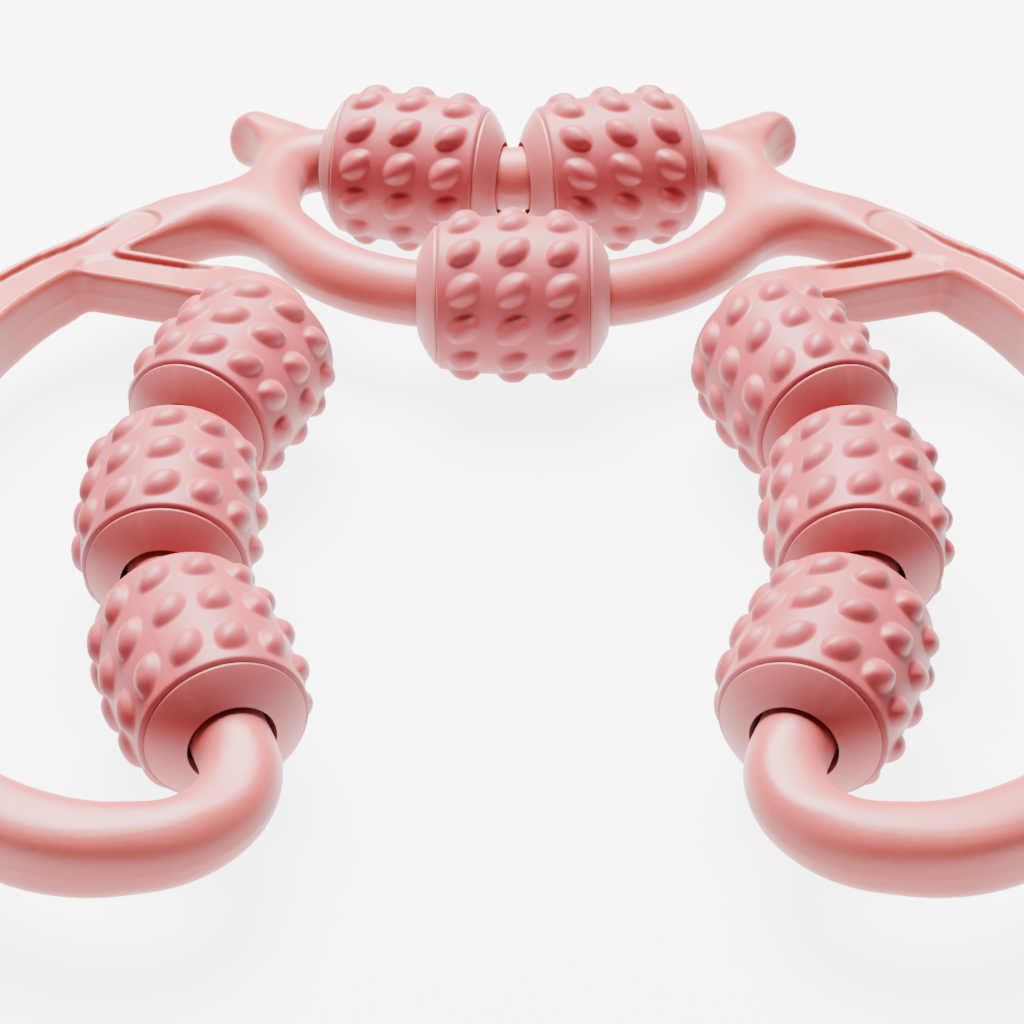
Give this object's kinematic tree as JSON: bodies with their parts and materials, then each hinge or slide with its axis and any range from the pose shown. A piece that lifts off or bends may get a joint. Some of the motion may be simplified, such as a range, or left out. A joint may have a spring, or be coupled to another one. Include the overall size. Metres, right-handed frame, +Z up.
{
  "type": "hand-held roller massager",
  "caption": "Two-handled hoop frame of rounded bar with free-spinning studded barrel rollers round an open leg space.",
  "frame": {"origin": "middle of the footprint, at the level of the table under the stud tips", "axes": "+X to the right-hand grip, +Y from the open leg space towards the crossbar, +Z up out of the flat face"},
  "size_m": [0.282, 0.266, 0.04],
  "materials": {
    "frame_plastic": "satin moulded",
    "core_plastic": "satin moulded",
    "skin_rubber": "soft satin"
  },
  "bodies": {
    "frame": {"frame": "frame_plastic"},
    "front_roller": {"front_core_a": "core_plastic", "front_core_b": "core_plastic", "front_skin_a": "skin_rubber", "front_skin_b": "skin_rubber"},
    "rear_left_roller": {"rear_left_core_a": "core_plastic", "rear_left_core_b": "core_plastic", "rear_left_skin_a": "skin_rubber", "rear_left_skin_b": "skin_rubber"},
    "rear_right_roller": {"rear_right_core_a": "core_plastic", "rear_right_core_b": "core_plastic", "rear_right_skin_a": "skin_rubber", "rear_right_skin_b": "skin_rubber"},
    "upper_left_roller": {"upper_left_core_a": "core_plastic", "upper_left_core_b": "core_plastic", "upper_left_skin_a": "skin_rubber", "upper_left_skin_b": "skin_rubber"},
    "upper_right_roller": {"upper_right_core_a": "core_plastic", "upper_right_core_b": "core_plastic", "upper_right_skin_a": "skin_rubber", "upper_right_skin_b": "skin_rubber"},
    "middle_left_roller": {"middle_left_core_a": "core_plastic", "middle_left_core_b": "core_plastic", "middle_left_skin_a": "skin_rubber", "middle_left_skin_b": "skin_rubber"},
    "middle_right_roller": {"middle_right_core_a": "core_plastic", "middle_right_core_b": "core_plastic", "middle_right_skin_a": "skin_rubber", "middle_right_skin_b": "skin_rubber"},
    "lower_left_roller": {"lower_left_core_a": "core_plastic", "lower_left_core_b": "core_plastic", "lower_left_skin_a": "skin_rubber", "lower_left_skin_b": "skin_rubber"},
    "lower_right_roller": {"lower_right_core_a": "core_plastic", "lower_right_core_b": "core_plastic", "lower_right_skin_a": "skin_rubber", "lower_right_skin_b": "skin_rubber"}
  },
  "joints": [
    {"name": "front_spin", "type": "hinge", "parent": "frame", "child": "front_roller", "pos_m": [0, 0.0551, 0.02], "axis": [1, 0, 0], "continuous": true},
    {"name": "rear_left_spin", "type": "hinge", "parent": "frame", "child": "rear_left_roller", "pos_m": [-0.0239, 0.11103, 0.02], "axis": [0.981, -0.1942, 0], "continuous": true},
    {"name": "rear_right_spin", "type": "hinge", "parent": "frame", "child": "rear_right_roller", "pos_m": [0.0239, 0.11103, 0.02], "axis": [-0.981, -0.1942, 0], "continuous": true},
    {"name": "upper_left_spin", "type": "hinge", "parent": "frame", "child": "upper_left_roller", "pos_m": [-0.06105, 0.0199, 0.02], "axis": [-0.365, -0.931, 0], "continuous": true},
    {"name": "upper_right_spin", "type": "hinge", "parent": "frame", "child": "upper_right_roller", "pos_m": [0.06105, 0.0199, 0.02], "axis": [0.365, -0.931, 0], "continuous": true},
    {"name": "middle_left_spin", "type": "hinge", "parent": "frame", "child": "middle_left_roller", "pos_m": [-0.06986, -0.0282, 0.02], "axis": [0.0267, -0.9996, 0], "continuous": true},
    {"name": "middle_right_spin", "type": "hinge", "parent": "frame", "child": "middle_right_roller", "pos_m": [0.06986, -0.0282, 0.02], "axis": [-0.0267, -0.9996, 0], "continuous": true},
    {"name": "lower_left_spin", "type": "hinge", "parent": "frame", "child": "lower_left_roller", "pos_m": [-0.05987, -0.0769, 0.02], "axis": [0.3611, -0.9325, 0], "continuous": true},
    {"name": "lower_right_spin", "type": "hinge", "parent": "frame", "child": "lower_right_roller", "pos_m": [0.05987, -0.0769, 0.02], "axis": [-0.3611, -0.9325, 0], "continuous": true}
  ]
}
